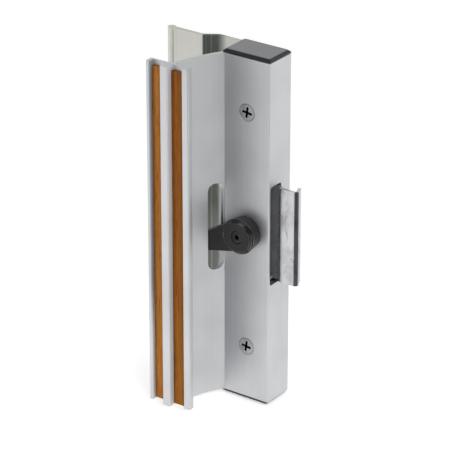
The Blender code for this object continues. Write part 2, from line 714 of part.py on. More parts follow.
def make_cam(zinc):
    """The die-cast cam on the lever's drive, with its helical track and square socket."""
    bore = RIVET_RADIUS + PIN_GAP
    chamfer = EDGE_RADIUS
    profile = [(bore, CAM_IN), (CAM_RADIUS - chamfer, CAM_IN), (CAM_RADIUS, CAM_IN + chamfer),
               (CAM_RADIUS, CAM_OUT - chamfer), (CAM_RADIUS - chamfer, CAM_OUT), (bore, CAM_OUT)]
    cam = turned("latch_cam", profile, ROUND_STEPS, zinc, (LEVER_X, FRONT, 0.0))
    socket_side = DRIVE_SQUARE + 2 * PIN_GAP
    socket = prism("cam_socket_cutter", rounded_rectangle(socket_side, socket_side, EDGE_RADIUS), "Y",
                   CAM_IN - OVERCUT, CAM_IN + DRIVE_LENGTH + PIN_GAP, location=cam.location)
    socket.rotation_euler = (0.0, -LEVER_DROOP, 0.0)
    bpy.context.view_layer.update()
    cut(cam, socket)
    cut(cam, cam_groove())


def make_washers(steel):
    """The friction washer behind the bracket and the one under the rivet's flared end."""
    place = (LEVER_X, FRONT, 0.0)
    turned("friction_washer", ring_profile(JOURNAL_RADIUS + PIN_GAP, WASHER_RADIUS, WASHER_IN,
           WASHER_IN + WASHER_THICKNESS), ROUND_STEPS, steel, place)
    turned("rivet_washer", ring_profile(RIVET_RADIUS + PIN_GAP, RIVET_WASHER_RADIUS, RIVET_WASHER_IN,
           RIVET_WASHER_IN + WASHER_THICKNESS), SMALL_STEPS, steel, place)


# Hook latch


def ear_outline(root_in, half_width, tip_radius):
    """A lug from a folded sheet out to the hinge pin, rounded about it, in the section's plane."""
    pin = at(PIN_LEFT, PIN_IN)
    facing = 1.0 if root_in > PIN_IN else -1.0
    root = FRONT + root_in
    arc = []
    for step in range(SMALL_STEPS // 2 + 1):
        turn = math.pi * step / (SMALL_STEPS // 2)
        arc.append(pin + tip_radius * Vector((math.cos(turn), -facing * math.sin(turn))))
    return arc + [Vector((pin.x - half_width, root)), Vector((pin.x + half_width, root))]


def pin_hole(name):
    """A cutter for the hinge pin's holes."""
    reach = BRACKET_HEIGHT / 2
    radius = PIN_RADIUS + PIN_GAP
    profile = [(0.0, -reach), (radius, -reach), (radius, reach), (0.0, reach)]
    hole = turned(name, profile, SMALL_STEPS, axis="Z")
    hole.location = (PIN_X, FRONT + PIN_IN, 0.0)
    return hole


def make_bracket(steel):
    """The folded bracket behind the front wall that carries the hinge pin between two ears."""
    width = HOUSING_WIDTH - 2 * (WALL + SEAT_GAP)
    signs = ((-1, -1), (1, -1), (1, 1), (-1, 1))
    outline = [Vector((x * width / 2, z * BRACKET_HEIGHT / 2)) for x, z in signs]
    bracket = prism("latch_bracket", outline, "Y", BRACKET_IN, BRACKET_IN + BRACKET_THICKNESS, steel,
                    (CHANNEL_X, FRONT, 0.0))
    ear_height = BRACKET_EAR_Z + BRACKET_THICKNESS
    ear_depth = PIN_IN - BRACKET_IN
    half_width = PIN_RADIUS + 2 * SEAT_GAP
    bpy.context.view_layer.update()
    for side, low in (("upper", BRACKET_EAR_Z), ("lower", -ear_height)):
        ear = prism(f"bracket_ear_{side}", ear_outline(BRACKET_IN + SLIDE_GAP, half_width, half_width), "Z",
                    low, low + BRACKET_THICKNESS)
        join(bracket, ear)
        lanced_low = BRACKET_EAR_Z - ear_depth if side == "upper" else -BRACKET_EAR_Z
        lanced = [Vector((PIN_X + x * half_width, z)) for x, z in (
            (-1, lanced_low), (1, lanced_low), (1, lanced_low + ear_depth), (-1, lanced_low + ear_depth))]
        opening = prism(f"bracket_lance_{side}", lanced, "Y", FRONT + BRACKET_IN - OVERCUT,
                        FRONT + BRACKET_IN + BRACKET_THICKNESS + OVERCUT)
        cut(bracket, opening)
    cut(bracket, journal_bore("bracket_bore_cutter", 0.0, CAM_IN))
    cut(bracket, pin_hole("bracket_pin_cutter"))


def make_hinge_pin(steel):
    """The headed pin that the clamp plate swings on, held by a clip at its lower end."""
    top = BRACKET_EAR_Z + BRACKET_THICKNESS + SLIDE_GAP
    clip_gap = top + CLIP_THICKNESS + 2 * SLIDE_GAP
    neck = PIN_RADIUS - SEAT_GAP
    profile = [
        (0.0, top + PIN_HEAD_THICKNESS),
        (PIN_HEAD_RADIUS - SLIDE_GAP, top + PIN_HEAD_THICKNESS),
        (PIN_HEAD_RADIUS, top + PIN_HEAD_THICKNESS - SLIDE_GAP),
        (PIN_HEAD_RADIUS, top),
        (PIN_RADIUS, top),
        (PIN_RADIUS, -top),
        (neck, -top),
        (neck, -clip_gap),
        (PIN_RADIUS, -clip_gap),
        (PIN_RADIUS, -clip_gap - PIN_HEAD_THICKNESS),
        (0.0, -clip_gap - PIN_HEAD_THICKNESS),
    ]
    place = (PIN_X, FRONT + PIN_IN, 0.0)
    turned("hinge_pin", profile, SMALL_STEPS, steel, place, axis="Z")
    low = -top - SLIDE_GAP - CLIP_THICKNESS
    clip = prism("hinge_pin_clip", circle(Vector((0.0, 0.0)), CLIP_RADIUS, SMALL_STEPS), "Z",
                 low, low + CLIP_THICKNESS, steel, place)
    mouth = prism("clip_mouth_cutter", fillet([
        (Vector((-neck - PIN_GAP, CLIP_RADIUS + OVERCUT)), 0.0),
        (Vector((-neck - PIN_GAP, -neck - PIN_GAP)), neck),
        (Vector((neck + PIN_GAP, -neck - PIN_GAP)), neck),
        (Vector((neck + PIN_GAP, CLIP_RADIUS + OVERCUT)), 0.0),
    ]), "Z", low - OVERCUT, low + CLIP_THICKNESS + OVERCUT, location=place)
    bpy.context.view_layer.update()
    cut(clip, mouth)


def plate_path():
    """The middle of the folded sheet, from the lip, which leans back as a hook, in to its tail."""
    half = PLATE_THICKNESS / 2
    reach = -PLATE_REACH + half
    front = PLATE_FRONT_IN + half
    shift = PLATE_TAIL_IN - front
    lip_left = reach + PLATE_LIP * math.sin(PLATE_LIP_LEAN)
    lip_in = front + PLATE_LIP * math.cos(PLATE_LIP_LEAN)
    corners = [
        (at(lip_left, lip_in), 0.0),
        (at(reach, front), PLATE_LIP_RADIUS),
        (at(-PLATE_BEND_RIGHT, front), PLATE_BEND_RADIUS),
        (at(-PLATE_BEND_RIGHT + shift, PLATE_TAIL_IN), PLATE_BEND_RADIUS),
        (at(PLATE_TAIL_LEFT, PLATE_TAIL_IN), 0.0),
    ]
    return fillet(corners, closed=False)


def make_clamp_plate(steel):
    """The hook: one folded sheet with two hinge ears and a finger that rides in the cam."""
    half = PLATE_HEIGHT / 2
    pivot = Vector((PIN_X, FRONT + PIN_IN))
    outline = [point - pivot for point in thicken(plate_path(), PLATE_THICKNESS)]
    plate = prism("clamp_plate", outline, "Z", -half, half, steel, (*pivot, 0.0))
    bpy.context.view_layer.update()
    for side, low in (("upper", half - FOLD_INSET - PLATE_THICKNESS), ("lower", FOLD_INSET - half)):
        ear = prism(f"plate_ear_{side}", ear_outline(PLATE_TAIL_IN, EAR_RADIUS, EAR_RADIUS), "Z",
                    low, low + PLATE_THICKNESS)
        join(plate, ear)
    finger_half = PLATE_THICKNESS / 2 - FOLD_INSET
    finger = [at(left, PLATE_TAIL_IN + side * finger_half) for left, side in (
        (PLATE_TAIL_LEFT - PLATE_THICKNESS, -1), (finger_tip_left(), -1), (finger_tip_left(), 1),
        (PLATE_TAIL_LEFT - PLATE_THICKNESS, 1))]
    join(plate, prism("plate_finger", finger, "Z", -FINGER_WIDTH / 2, FINGER_WIDTH / 2))
    cut(plate, pin_hole("plate_pin_cutter"))


# Outer pull


def make_outer_pull(aluminium):
    """The weather-side extrusion: a flange on the door, a step and a fin that ends in a bead."""
    middle = OUTER_FACE_IN + OUTER_THICKNESS / 2
    fin = middle - OUTER_STEP
    corners = [
        (at(OUTER_FLANGE_RIGHT, middle), 0.0),
        (at(OUTER_FLANGE_LEFT, middle), OUTER_BEND_RADIUS),
        (at(OUTER_FLANGE_LEFT + OUTER_STEP_RUN, fin), OUTER_BEND_RADIUS),
        (at(OUTER_FIN_LEFT + OUTER_BEAD_RADIUS, fin), 0.0),
    ]
    outline = thicken(fillet(corners, closed=False), OUTER_THICKNESS)
    half = OUTER_LENGTH / 2
    outer = prism("outer_pull", outline, "Z", -half, half, aluminium)
    bead_centre = at(OUTER_FIN_LEFT + OUTER_BEAD_RADIUS, fin)
    join(outer, prism("outer_bead", circle(bead_centre, OUTER_BEAD_RADIUS, SMALL_STEPS), "Z", -half, half))
    for end, height in SCREW_HEIGHTS.items():
        reach = OUTER_FACE_IN + OUTER_THICKNESS + OVERCUT
        hole = turned(f"outer_hole_cutter_{end}", [
            (0.0, HOUSING_DEPTH - OVERCUT), (NUT_BARREL_RADIUS + PIN_GAP, HOUSING_DEPTH - OVERCUT),
            (NUT_BARREL_RADIUS + PIN_GAP, reach), (0.0, reach)], SMALL_STEPS,
            location=(LEVER_X, FRONT, height))
        cut(outer, hole)


def clear_scene():
    """Remove whatever the scene holds."""
    for found in list(bpy.data.objects):
        bpy.data.objects.remove(found)


def main():
    """Build every piece of the handle."""
    clear_scene()
    aluminium = make_material("satin_aluminium", (0.66, 0.67, 0.69), 0.35, 1.0)
    outer_aluminium = make_material("outer_aluminium", (0.62, 0.62, 0.60), 0.4, 1.0)
    wood = make_material("wood_grain", (0.35, 0.12, 0.03), 0.5)
    plastic = make_material("black_plastic", (0.03, 0.03, 0.03), 0.45)
    nylon = make_material("pale_nylon", (0.7, 0.69, 0.64), 0.5)
    steel = make_material("zinc_plated_steel", (0.6, 0.61, 0.62), 0.3, 1.0)
    black_steel = make_material("blackened_steel", (0.03, 0.03, 0.03), 0.4, 0.6)
    zinc = make_material("cast_zinc", (0.45, 0.45, 0.46), 0.5, 1.0)

    make_pull_body(aluminium)
    first_groove = GRIP_RIGHT + RIGHT_RIM_WIDTH
    make_wood_strip("wood_strip_right", first_groove, wood)
    make_wood_strip("wood_strip_left", first_groove + GROOVE_WIDTH + CENTRE_RIB_WIDTH, wood)
    make_end_cap("top_cap", True, plastic)
    make_end_cap("bottom_cap", False, plastic)
    make_lever(plastic)
    make_lever_rivet(black_steel)
    make_cam(zinc)
    make_washers(steel)
    make_bracket(black_steel)
    make_hinge_pin(steel)
    make_clamp_plate(steel)
    make_outer_pull(outer_aluminium)
    for end, height in SCREW_HEIGHTS.items():
        make_screw(end, height, steel)
        make_screw_spacer(end, height, nylon)
        make_outer_nut(end, height, steel)


main()
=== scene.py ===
# %% [markdown]
# # A sliding patio door's handle
# The real thing is a satin aluminium extrusion with a box-shaped housing, a curved web and a grip bar. Two
# strips of wood lie in the bar's grooves, a black thumb lever turns on the housing, and a folded steel hook
# comes out of a window in its side. Its outer half is a second extrusion, on the far side of the door.
# The construction is loaded as a fixed frame. This script gives every piece its finish, and the visible ones
# their fine shape.

# %% Load the frame
import json
import math

import bpy
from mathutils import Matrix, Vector

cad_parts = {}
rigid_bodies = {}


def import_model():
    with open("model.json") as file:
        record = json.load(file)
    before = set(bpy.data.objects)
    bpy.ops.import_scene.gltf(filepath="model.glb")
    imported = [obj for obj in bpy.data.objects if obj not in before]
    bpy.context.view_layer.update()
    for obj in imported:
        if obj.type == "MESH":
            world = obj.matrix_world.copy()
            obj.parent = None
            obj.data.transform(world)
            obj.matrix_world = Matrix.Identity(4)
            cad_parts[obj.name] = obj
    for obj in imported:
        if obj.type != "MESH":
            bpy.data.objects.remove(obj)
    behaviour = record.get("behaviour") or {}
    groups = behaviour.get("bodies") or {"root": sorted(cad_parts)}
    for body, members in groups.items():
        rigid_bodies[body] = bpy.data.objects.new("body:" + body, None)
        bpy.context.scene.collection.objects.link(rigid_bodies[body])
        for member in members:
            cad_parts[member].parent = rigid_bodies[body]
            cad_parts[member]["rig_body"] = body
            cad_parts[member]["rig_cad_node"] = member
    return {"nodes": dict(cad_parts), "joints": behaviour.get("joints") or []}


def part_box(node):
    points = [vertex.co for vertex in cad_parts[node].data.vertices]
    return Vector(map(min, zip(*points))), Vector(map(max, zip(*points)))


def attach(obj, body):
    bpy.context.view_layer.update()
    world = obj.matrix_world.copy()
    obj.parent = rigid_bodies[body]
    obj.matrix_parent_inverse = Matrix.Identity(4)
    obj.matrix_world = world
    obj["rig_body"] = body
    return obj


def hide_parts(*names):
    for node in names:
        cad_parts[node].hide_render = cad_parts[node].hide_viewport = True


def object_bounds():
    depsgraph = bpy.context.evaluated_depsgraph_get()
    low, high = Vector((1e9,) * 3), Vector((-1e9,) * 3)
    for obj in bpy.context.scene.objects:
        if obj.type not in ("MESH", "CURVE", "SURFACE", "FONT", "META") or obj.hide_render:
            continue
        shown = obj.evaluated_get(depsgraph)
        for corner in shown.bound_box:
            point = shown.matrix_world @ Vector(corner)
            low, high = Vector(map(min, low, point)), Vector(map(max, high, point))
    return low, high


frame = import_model()
cad_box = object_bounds()
nodes = frame["nodes"]
MM = 0.001
print("loaded", len(nodes), "nodes, box", [tuple(round(value, 4) for value in corner) for corner in cad_box])

# %% [markdown]
# ## Places
# The pieces sit where the construction has them. The lever's axis is read from its joint, and the screws'
# axis from the box of the upper one. A finish that covers only part of a piece is placed from these, or by
# named values that are counted from the frame's origin on the door's face, at the height of the lever.

# %% Read the main places
BODY = "body"
LEVER = "lever"
HOOK = "hook"
joints = {joint["name"]: joint for joint in frame["joints"]}
lever_axis = Vector(joints["lever_turn"]["pos_m"])
body_low, body_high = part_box("pull_body")
screw_low, screw_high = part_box("mounting_screw_top")
screw_axis = (screw_low + screw_high) / 2
print("lever axis", tuple(lever_axis), "body height", round((body_high.z - body_low.z) / MM, 1), "mm")
print("screws at a height of", round(screw_axis.z / MM, 1), "mm above and below the lever")

# %% [markdown]
# ## Colour and node helpers
# Colours are written as the hex values that a designer picks on a screen. A shader wants linear light, so one
# function turns them. One more function adds a node with its settings and its links. The others build on it:
# a mask is a number from 0 to 1 that says where a finish lies, and several masks are multiplied together.


# %% Colour and node helpers
def linear(hex_colour):
    """A screen colour such as #c9cacc as linear red, green, blue and alpha."""
    parts = [int(hex_colour[start : start + 2], 16) / 255 for start in (1, 3, 5)]
    turned = [part / 12.92 if part <= 0.04045 else ((part + 0.055) / 1.055) ** 2.4 for part in parts]
    return (*turned, 1.0)


def add(tree, kind, settings=None, links=None):
    """A node of this kind, with settings by property or input name and links by input name or number."""
    node = tree.nodes.new(kind)
    for name, value in (settings or {}).items():
        if isinstance(name, str) and hasattr(node, name):
            setattr(node, name, value)
        else:
            node.inputs[name].default_value = value
    for name, source in (links or {}).items():
        tree.links.new(source, node.inputs[name])
    return node


def new_material(name, settings):
    """A material with one Principled shader, its constants set on the shader's own sockets."""
    material = bpy.data.materials.new(name)
    material.use_nodes = True
    tree = material.node_tree
    for socket, value in settings.items():
        tree.nodes["Principled BSDF"].inputs[socket].default_value = value
    return material, tree


def object_place(tree, scale=(1.0, 1.0, 1.0), location=(0.0, 0.0, 0.0)):
    """Object coordinates in metres, stretched by a scale for each axis."""
    coordinate = add(tree, "ShaderNodeTexCoord")
    mapping = add(tree, "ShaderNodeMapping", {"Scale": scale, "Location": location},
                  {"Vector": coordinate.outputs["Object"]})
    return mapping.outputs["Vector"]


def ramp(tree, source, stops):
    """A colour ramp through (position, colour) stops, or a grey ramp where a stop gives one number."""
    node = add(tree, "ShaderNodeValToRGB", links={"Fac": source})
    elements = node.color_ramp.elements
    while len(elements) < len(stops):
        elements.new(0.5)
    for element, (position, colour) in zip(elements, stops):
        element.position = position
        element.color = linear(colour) if isinstance(colour, str) else (colour, colour, colour, 1.0)
    return node.outputs["Color"]


def per_mm(size_mm):
    """The texture scale that gives a pattern of this size, for coordinates in metres."""
    return 1.0 / (size_mm * MM)


def between(tree, source, low, high):
    """A number that runs from 0 where the source is at low to 1 where it is at high."""
    node = add(tree, "ShaderNodeMapRange", {"From Min": low, "From Max": high}, {"Value": source})
    return node.outputs["Result"]


def axes_of(tree):
    """The X, Y and Z of a point of the object in metres, to be looked up by these letters."""
    return add(tree, "ShaderNodeSeparateXYZ", links={0: object_place(tree)}).outputs


def combine(tree, operation, *sources):
    """Several numbers put together one after the other, by MULTIPLY or MAXIMUM."""
    result = sources[0]
    for source in sources[1:]:
        node = add(tree, "ShaderNodeMath", {"operation": operation}, {0: result, 1: source})
        result = node.outputs["Value"]
    return result


def distance_to(tree, source, value):
    """How far a number is from a value, without its sign."""
    gap = add(tree, "ShaderNodeMath", {"operation": "SUBTRACT", 1: value}, {0: source})
    size = add(tree, "ShaderNodeMath", {"operation": "ABSOLUTE"}, {0: gap.outputs["Value"]})
    return size.outputs["Value"]


def drive(tree, socket, source):
    """Let a node's output drive a socket of the shader."""
    tree.links.new(source, tree.nodes["Principled BSDF"].inputs[socket])


def driver_of(tree, socket):
    """The output that drives a socket of the shader now."""
    return tree.nodes["Principled BSDF"].inputs[socket].links[0].from_socket


def tint(tree, mask, stops):
    """Multiply the shader's base colour by a ramp over a mask."""
    mixed = add(tree, "ShaderNodeMix", {"data_type": "RGBA", "blend_type": "MULTIPLY", 0: 1.0},
                {6: driver_of(tree, "Base Color"), 7: ramp(tree, mask, stops)})
    drive(tree, "Base Color", mixed.outputs[2])


def repaint(tree, mask, hex_colour):
    """Replace the shader's base colour by one colour where the mask is 1."""
    mixed = add(tree, "ShaderNodeMix", {"data_type": "RGBA", 7: linear(hex_colour)},
                {0: mask, 6: driver_of(tree, "Base Color")})
    drive(tree, "Base Color", mixed.outputs[2])


def ring_place(tree, centre):
    """The distance from an axis along Y through a centre, and the Y coordinate.

    The height is taken without its sign, so the same ring is found above and below the middle.
    """
    place = axes_of(tree)
    flat = add(tree, "ShaderNodeCombineXYZ", {1: 0.0}, {0: place["X"], 2: distance_to(tree, place["Z"], 0.0)})
    away = add(tree, "ShaderNodeVectorMath", {"operation": "DISTANCE", 1: (centre.x, 0.0, centre.z)},
               {0: flat.outputs["Vector"]})
    return away.outputs["Value"], place["Y"]


# %% [markdown]
# ## Anodised aluminium extrusion
# An extruded bar carries faint lines along its length, left by the die, and the etch before clear anodising
# gives it a fine, dull grain. So the lines are noise stretched along Z, drawn about 0.5 mm wide because the
# true ones are too fine for the picture, and the grain is a second, even noise. Both change the bump a
# little, and the lines the roughness too. A metal keeps the default IOR.

# %% Anodised aluminium
DIE_LINE_MM = 0.5
DIE_LINE_STRETCH = 0.004
TONE_PATCH_MM = 28.0
ETCH_GRAIN_MM = 0.35
LINE_DEPTH = 0.02 * MM


def make_anodised(name, colour, dark, roughness):
    """Satin anodised aluminium with lengthwise die lines."""
    material, tree = new_material(name, {"Metallic": 1.0, "Roughness": roughness})
    lines = add(tree, "ShaderNodeTexNoise", {"Scale": per_mm(DIE_LINE_MM), "Detail": 3.0, "Roughness": 0.6},
                {"Vector": object_place(tree, (1.0, 1.0, DIE_LINE_STRETCH))})
    clouds = add(tree, "ShaderNodeTexNoise", {"Scale": per_mm(TONE_PATCH_MM), "Detail": 2.0},
                 {"Vector": object_place(tree)})
    grain = add(tree, "ShaderNodeTexNoise", {"Scale": per_mm(ETCH_GRAIN_MM), "Detail": 2.0},
                {"Vector": object_place(tree)})
    mixed = add(tree, "ShaderNodeMath", {"operation": "MULTIPLY_ADD", 1: 0.55},
                {0: lines.outputs["Fac"], 2: clouds.outputs["Fac"]})
    drive(tree, "Base Color", ramp(tree, mixed.outputs["Value"], [(0.55, dark), (0.95, colour)]))
    spread = add(tree, "ShaderNodeMapRange", {"To Min": roughness - 0.04, "To Max": roughness + 0.05},
                 {"Value": lines.outputs["Fac"]})
    drive(tree, "Roughness", spread.outputs["Result"])
    line_bump = add(tree, "ShaderNodeBump", {"Strength": 0.05, "Distance": LINE_DEPTH},
                    {"Height": lines.outputs["Fac"]})
    grain_bump = add(tree, "ShaderNodeBump", {"Strength": 0.06, "Distance": LINE_DEPTH},
                     {"Height": grain.outputs["Fac"], "Normal": line_bump.outputs["Normal"]})
    drive(tree, "Normal", grain_bump.outputs["Normal"])
    print("made", name)
    return material


satin_aluminium = make_anodised("anodised_aluminium_extruded", "#cdced0", "#c4c5c7", 0.47)
outer_aluminium = make_anodised("anodised_aluminium_outer", "#c9c9c3", "#bdbdb6", 0.42)

# %% [markdown]
# The etch leaves the walls of the two narrow grooves chalky, so they scatter light and don't mirror the wood.
# They are found by their distance from the strips' long sides, and are less metallic there.

# %% Chalk the walls of the grip's grooves
WALL_NEAR = 0.45 * MM
WALL_FAR = 0.65 * MM
BEHIND_LIP = (0.25 * MM, 0.45 * MM)
BEHIND_STRIP = 0.4 * MM
CHALK_METALLIC = 0.1
body_tree = satin_aluminium.node_tree
body_at = axes_of(body_tree)
strip_boxes = [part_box(f"wood_strip_{side}") for side in ("left", "right")]
strip_back = strip_boxes[0][1].y
wall_sides = [corner.x for box in strip_boxes for corner in box]
walls = [
    between(body_tree, distance_to(body_tree, body_at["X"], wall_side), WALL_FAR, WALL_NEAR)
    for wall_side in wall_sides
]
chalk = combine(
    body_tree, "MULTIPLY",
    between(body_tree, body_at["Y"], body_low.y + BEHIND_LIP[0], body_low.y + BEHIND_LIP[1]),
    between(body_tree, body_at["Y"], strip_back + BEHIND_STRIP, strip_back),
    combine(body_tree, "MAXIMUM", *walls),
)
metal_part = add(body_tree, "ShaderNodeMapRange", {"To Min": 1.0, "To Max": CHALK_METALLIC}, {"Value": chalk})
drive(body_tree, "Metallic", metal_part.outputs["Result"])
print("chalked", len(walls), "groove walls")

# %% [markdown]
# The outer wall of the left groove is painted darker above the bar's lower third, a painted shade.

# %% Painted shade on the left groove's outer wall
WALL_SHADE_FROM = -55.0 * MM
WALL_SHADE_FULL = -25.0 * MM
wall_shade_height = between(body_tree, body_at["Z"], WALL_SHADE_FROM, WALL_SHADE_FULL)
wall_painted_shade = combine(body_tree, "MULTIPLY", walls[0], wall_shade_height, chalk)
# Painted shade: the groove wall's colour is darkened here.
tint(body_tree, wall_painted_shade, [(0.0, "#ffffff"), (1.0, "#bcc1c7")])
print("grime on the wall at", round(wall_sides[0] / MM, 1), "mm")

# %% [markdown]
# Where the web meets the housing, just above the lever's arm, the corner is painted with a thin dark line of
# shade. It is darkest by the arm and fades out upwards.

# %% Painted shade in the corner above the lever
CORNER_SHADE_EDGE = 0.75 * MM
CORNER_SHADE_CORE = 0.3 * MM
CORNER_SHADE_BACK = (0.4 * MM, 0.2 * MM)
CORNER_SHADE_FRONT = (-3.0 * MM, -2.5 * MM)
CORNER_SHADE_LOW = -1.0 * MM
CORNER_SHADE_FULL = 1.0 * MM
CORNER_SHADE_TOP = 22.0 * MM
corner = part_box("top_cap")[0]
corner_painted_shade = combine(
    body_tree, "MULTIPLY",
    between(body_tree, distance_to(body_tree, body_at["X"], corner.x), CORNER_SHADE_EDGE, CORNER_SHADE_CORE),
    between(body_tree, body_at["Y"], corner.y + CORNER_SHADE_BACK[0], corner.y + CORNER_SHADE_BACK[1]),
    between(body_tree, body_at["Y"], corner.y + CORNER_SHADE_FRONT[0], corner.y + CORNER_SHADE_FRONT[1]),
    between(body_tree, body_at["Z"], CORNER_SHADE_LOW, CORNER_SHADE_FULL),
    between(body_tree, body_at["Z"], CORNER_SHADE_TOP, CORNER_SHADE_FULL),
)
# Painted shade: a thin dark line in the corner above the arm.
tint(body_tree, corner_painted_shade, [(0.0, "#ffffff"), (0.8, "#4a4a4b")])
print("dirt line", round((CORNER_SHADE_TOP - CORNER_SHADE_LOW) / MM), "mm long")

# %% [markdown]
# The outer extrusion's step lies in the narrow space between the two halves. Its colour is painted a darker
# grey green across the step, from its foot to its top edge, as painted shade, and one thin line where the two
# meet is painted light, a painted highlight. Towards both ends it is darker still.

# %% Paint shade across the step of the outer extrusion
STEP_FROM = -49.0 * MM
STEP_TO = -35.0 * MM
STEP_PAINTED_LIGHT = [
    (0.10, "#ffffff"), (0.14, "#b9bfbc"), (0.20, "#bdc3c0"), (0.23, "#dde1df"), (0.26, "#bdc3c0"),
    (0.35, "#bfc5c2"), (0.38, "#ffffff"), (0.41, "#c1c7c4"), (0.66, "#d0d4d2"), (0.95, "#ffffff"),
]
STEP_RIGHT = (-36.0 * MM, -40.0 * MM)
STEP_LEFT = (-47.6 * MM, -47.2 * MM)
STEP_END_DARKENING = (35.0 * MM, 65.0 * MM)
outer_tree = outer_aluminium.node_tree
outer_at = axes_of(outer_tree)
# Painted shade across the step, with one painted highlight line.
tint(outer_tree, between(outer_tree, outer_at["X"], STEP_FROM, STEP_TO), STEP_PAINTED_LIGHT)
step_end_darkening = combine(
    outer_tree, "MULTIPLY",
    between(outer_tree, outer_at["X"], *STEP_RIGHT),
    between(outer_tree, outer_at["X"], *STEP_LEFT),
    between(outer_tree, distance_to(outer_tree, outer_at["Z"], 0.0), *STEP_END_DARKENING),
)
# Darker still towards both ends of the step.
tint(outer_tree, step_end_darkening, [(0.0, "#ffffff"), (1.0, "#b4b8b6")])
print("step dulled over", round((STEP_TO - STEP_FROM) / MM), "mm")

# %% [markdown]
# The rolled bead at the fin's free edge is rougher than the rest, and its colour is painted paler, a painted
# light that keeps its flank from reading dark. So it glows softly and doesn't mirror the room.

# %% Roughen the bead and paint it paler
BEAD_RIGHT = -63.6 * MM
BEAD_BLEND = 0.4 * MM
BEAD_ROUGHNESS = 0.7
bead = between(outer_tree, outer_at["X"], BEAD_RIGHT, BEAD_RIGHT - BEAD_BLEND)
bead_rough = add(outer_tree, "ShaderNodeMath", {"operation": "MULTIPLY", 1: BEAD_ROUGHNESS}, {0: bead})
drive(outer_tree, "Roughness", combine(
    outer_tree, "MAXIMUM", bead_rough.outputs["Value"], driver_of(outer_tree, "Roughness")))
# Painted light: the bead's colour is made paler.
repaint(outer_tree, bead, "#dcdcd5")
print("bead rubbed to a roughness of", BEAD_ROUGHNESS)

# %% [markdown]
# ## Oiled wood
# The strips are sliced along the grain, so the grain runs up them in streaks from straw orange to red brown,
# with short dark pores. Stretched noise gives the streaks, a finer one the pores, and a thin satin lacquer
# is a light coat. The strips are 6.7 mm wide, so a streak is about 1 mm wide. Upwards from the bar's lower
# end the wood is painted darker, a painted shade.

# %% Wood
WANDER_MM = 18.0
WANDER_REACH = 4.0 * MM
STREAK_MM = 1.4
STREAK_STRETCH = 0.014
PORE_MM = 0.45
PORE_STRETCH = 0.06
SIDE_CLEAN = 1.0 * MM
SIDE_DARK = 3.2 * MM
TOP_SHADE_FROM = -75.0 * MM
TOP_SHADE_FULL = 20.0 * MM


def make_wood(name, light, middle, dark):
    """Lengthwise grain under a satin lacquer."""
    settings = {"Roughness": 0.5, "Specular IOR Level": 0.15, "Coat Weight": 0.04, "Coat Roughness": 0.3}
    material, tree = new_material(name, settings)
    wander = add(tree, "ShaderNodeTexNoise", {"Scale": per_mm(WANDER_MM), "Detail": 2.0},
                 {"Vector": object_place(tree, (1.0, 1.0, 0.5))})
    shifted = add(tree, "ShaderNodeVectorMath",
                  {"operation": "MULTIPLY_ADD", 1: (WANDER_REACH, WANDER_REACH, 0.0)},
                  {0: wander.outputs["Color"], 2: object_place(tree, (1.0, 1.0, STREAK_STRETCH))})
    streaks = add(tree, "ShaderNodeTexNoise", {"Scale": per_mm(STREAK_MM), "Detail": 4.0, "Roughness": 0.65},
                  {"Vector": shifted.outputs["Vector"]})
    shade = ramp(tree, streaks.outputs["Fac"], [(0.25, dark), (0.5, middle), (0.75, light)])
    drive(tree, "Base Color", shade)
    pores = add(tree, "ShaderNodeTexNoise", {"Scale": per_mm(PORE_MM), "Detail": 1.0},
                {"Vector": object_place(tree, (1.0, 1.0, PORE_STRETCH))})
    tint(tree, pores.outputs["Fac"], [(0.3, "#c9ab95"), (0.4, "#ffffff")])
    bump = add(tree, "ShaderNodeBump", {"Strength": 0.15, "Distance": 0.05 * MM},
               {"Height": streaks.outputs["Fac"]})
    drive(tree, "Normal", bump.outputs["Normal"])
    print("made", name)
    return material


def tint_and_shade_strip(material, strip_box, top_shade):
    """Olive brown towards the long sides, and painted shade that darkens the strip upwards from its lower
    end.
    """
    tree = material.node_tree
    place = axes_of(tree)
    middle = (strip_box[0].x + strip_box[1].x) / 2
    side = between(tree, distance_to(tree, place["X"], middle), SIDE_CLEAN, SIDE_DARK)
    tint(tree, side, [(0.0, "#ffffff"), (1.0, "#cfc7a6")])
    # Painted shade: the strip gets darker upwards from its lower end.
    tint(tree, between(tree, place["Z"], TOP_SHADE_FROM, TOP_SHADE_FULL), [(0.0, "#ffffff"), (1.0, top_shade)])


wood_of = {
    "left": make_wood("oiled_wood_sliced_light", "#b9792c", "#a56a1f", "#8b520f"),
    "right": make_wood("oiled_wood_sliced_dark", "#a56710", "#925709", "#784505"),
}
top_shade_tones = ("#f7f0eb", "#ebe5d9")
for side, strip_box, top_shade in zip(("left", "right"), strip_boxes, top_shade_tones):
    tint_and_shade_strip(wood_of[side], strip_box, top_shade)

# %% [markdown]
# ## Moulded black plastic
# Lever and caps are moulded in black nylon or ABS against a finely eroded tool, which gives a dull, even
# grain of about 0.3 mm. Handling polishes the high spots a little, so the roughness varies in soft patches.
# The lever's nylon mirrors less than the caps' ABS.

# %% Black plastic
HANDLED_PATCH_MM = 6.0
GRAIN_DEPTH = 0.03 * MM
NYLON_SPECULAR = 0.36


